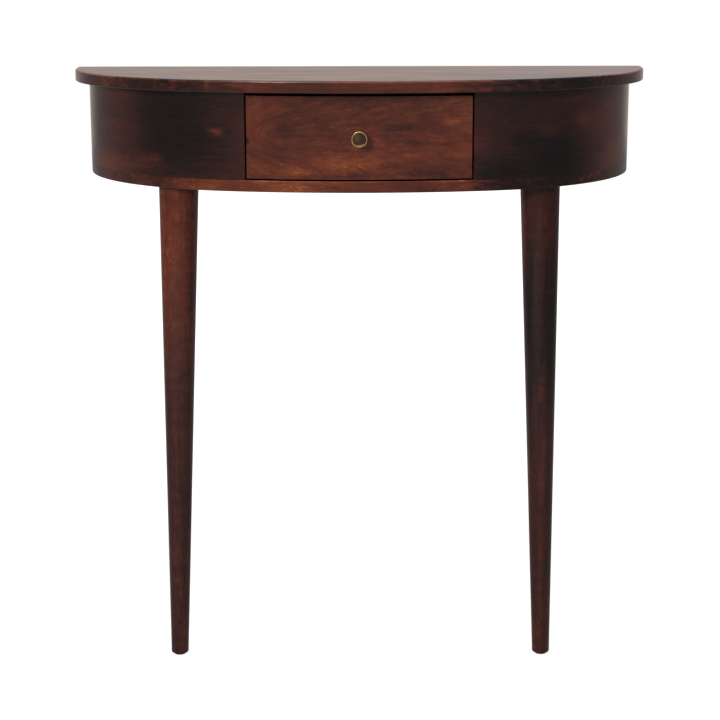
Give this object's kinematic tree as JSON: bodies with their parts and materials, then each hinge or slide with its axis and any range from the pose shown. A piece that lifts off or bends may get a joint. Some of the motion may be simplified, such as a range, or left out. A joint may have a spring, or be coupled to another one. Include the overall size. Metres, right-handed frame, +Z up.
{
  "type": "wall-fixed half-moon console table",
  "caption": "Half-moon console table in dark stained wood with tapered front legs, a bow-fronted drawer and a brass knob; its straight back is screwed to a wall.",
  "frame": {"origin": "floor level under the middle of the bounding box", "axes": "+X to the right as seen from the room, +Y towards the wall, +Z up"},
  "size_m": [0.755, 0.3, 0.76],
  "materials": {
    "chestnut_stained_mango": "satin lacquer",
    "plain_mango": "matte",
    "drawer_plywood": "matte",
    "brass": "polished, aged",
    "zinc_plated_steel": "satin",
    "nylon": "matte"
  },
  "bodies": {
    "carcass": {"table_top": "chestnut_stained_mango", "bottom_board": "chestnut_stained_mango", "left_apron_panel": "chestnut_stained_mango", "right_apron_panel": "chestnut_stained_mango", "left_leg": "chestnut_stained_mango", "right_leg": "chestnut_stained_mango", "back_rail": "plain_mango", "left_divider": "plain_mango", "right_divider": "plain_mango", "left_runner": "plain_mango", "right_runner": "plain_mango", "drawer_stops": "plain_mango", "left_top_cleat": "plain_mango", "right_top_cleat": "plain_mango", "left_corner_block": "plain_mango", "right_corner_block": "plain_mango", "left_leg_block": "plain_mango", "right_leg_block": "plain_mango", "panel_dowels": "plain_mango", "hanger_bolts": "zinc_plated_steel", "insert_nuts": "zinc_plated_steel", "foot_glides": "nylon", "carcass_screws": "zinc_plated_steel", "cleat_screws": "zinc_plated_steel", "runner_screws": "zinc_plated_steel"},
    "drawer": {"drawer_front": "chestnut_stained_mango", "drawer_left_side": "plain_mango", "drawer_right_side": "plain_mango", "drawer_back": "plain_mango", "drawer_bottom": "drawer_plywood", "drawer_knob": "brass", "knob_screw": "zinc_plated_steel", "knob_washer": "zinc_plated_steel", "drawer_pins": "zinc_plated_steel"}
  },
  "joints": [
    {"name": "drawer_slide", "type": "slide", "parent": "carcass", "child": "drawer", "axis": [0, -1, 0], "range_m": [0, 0.16]}
  ]
}
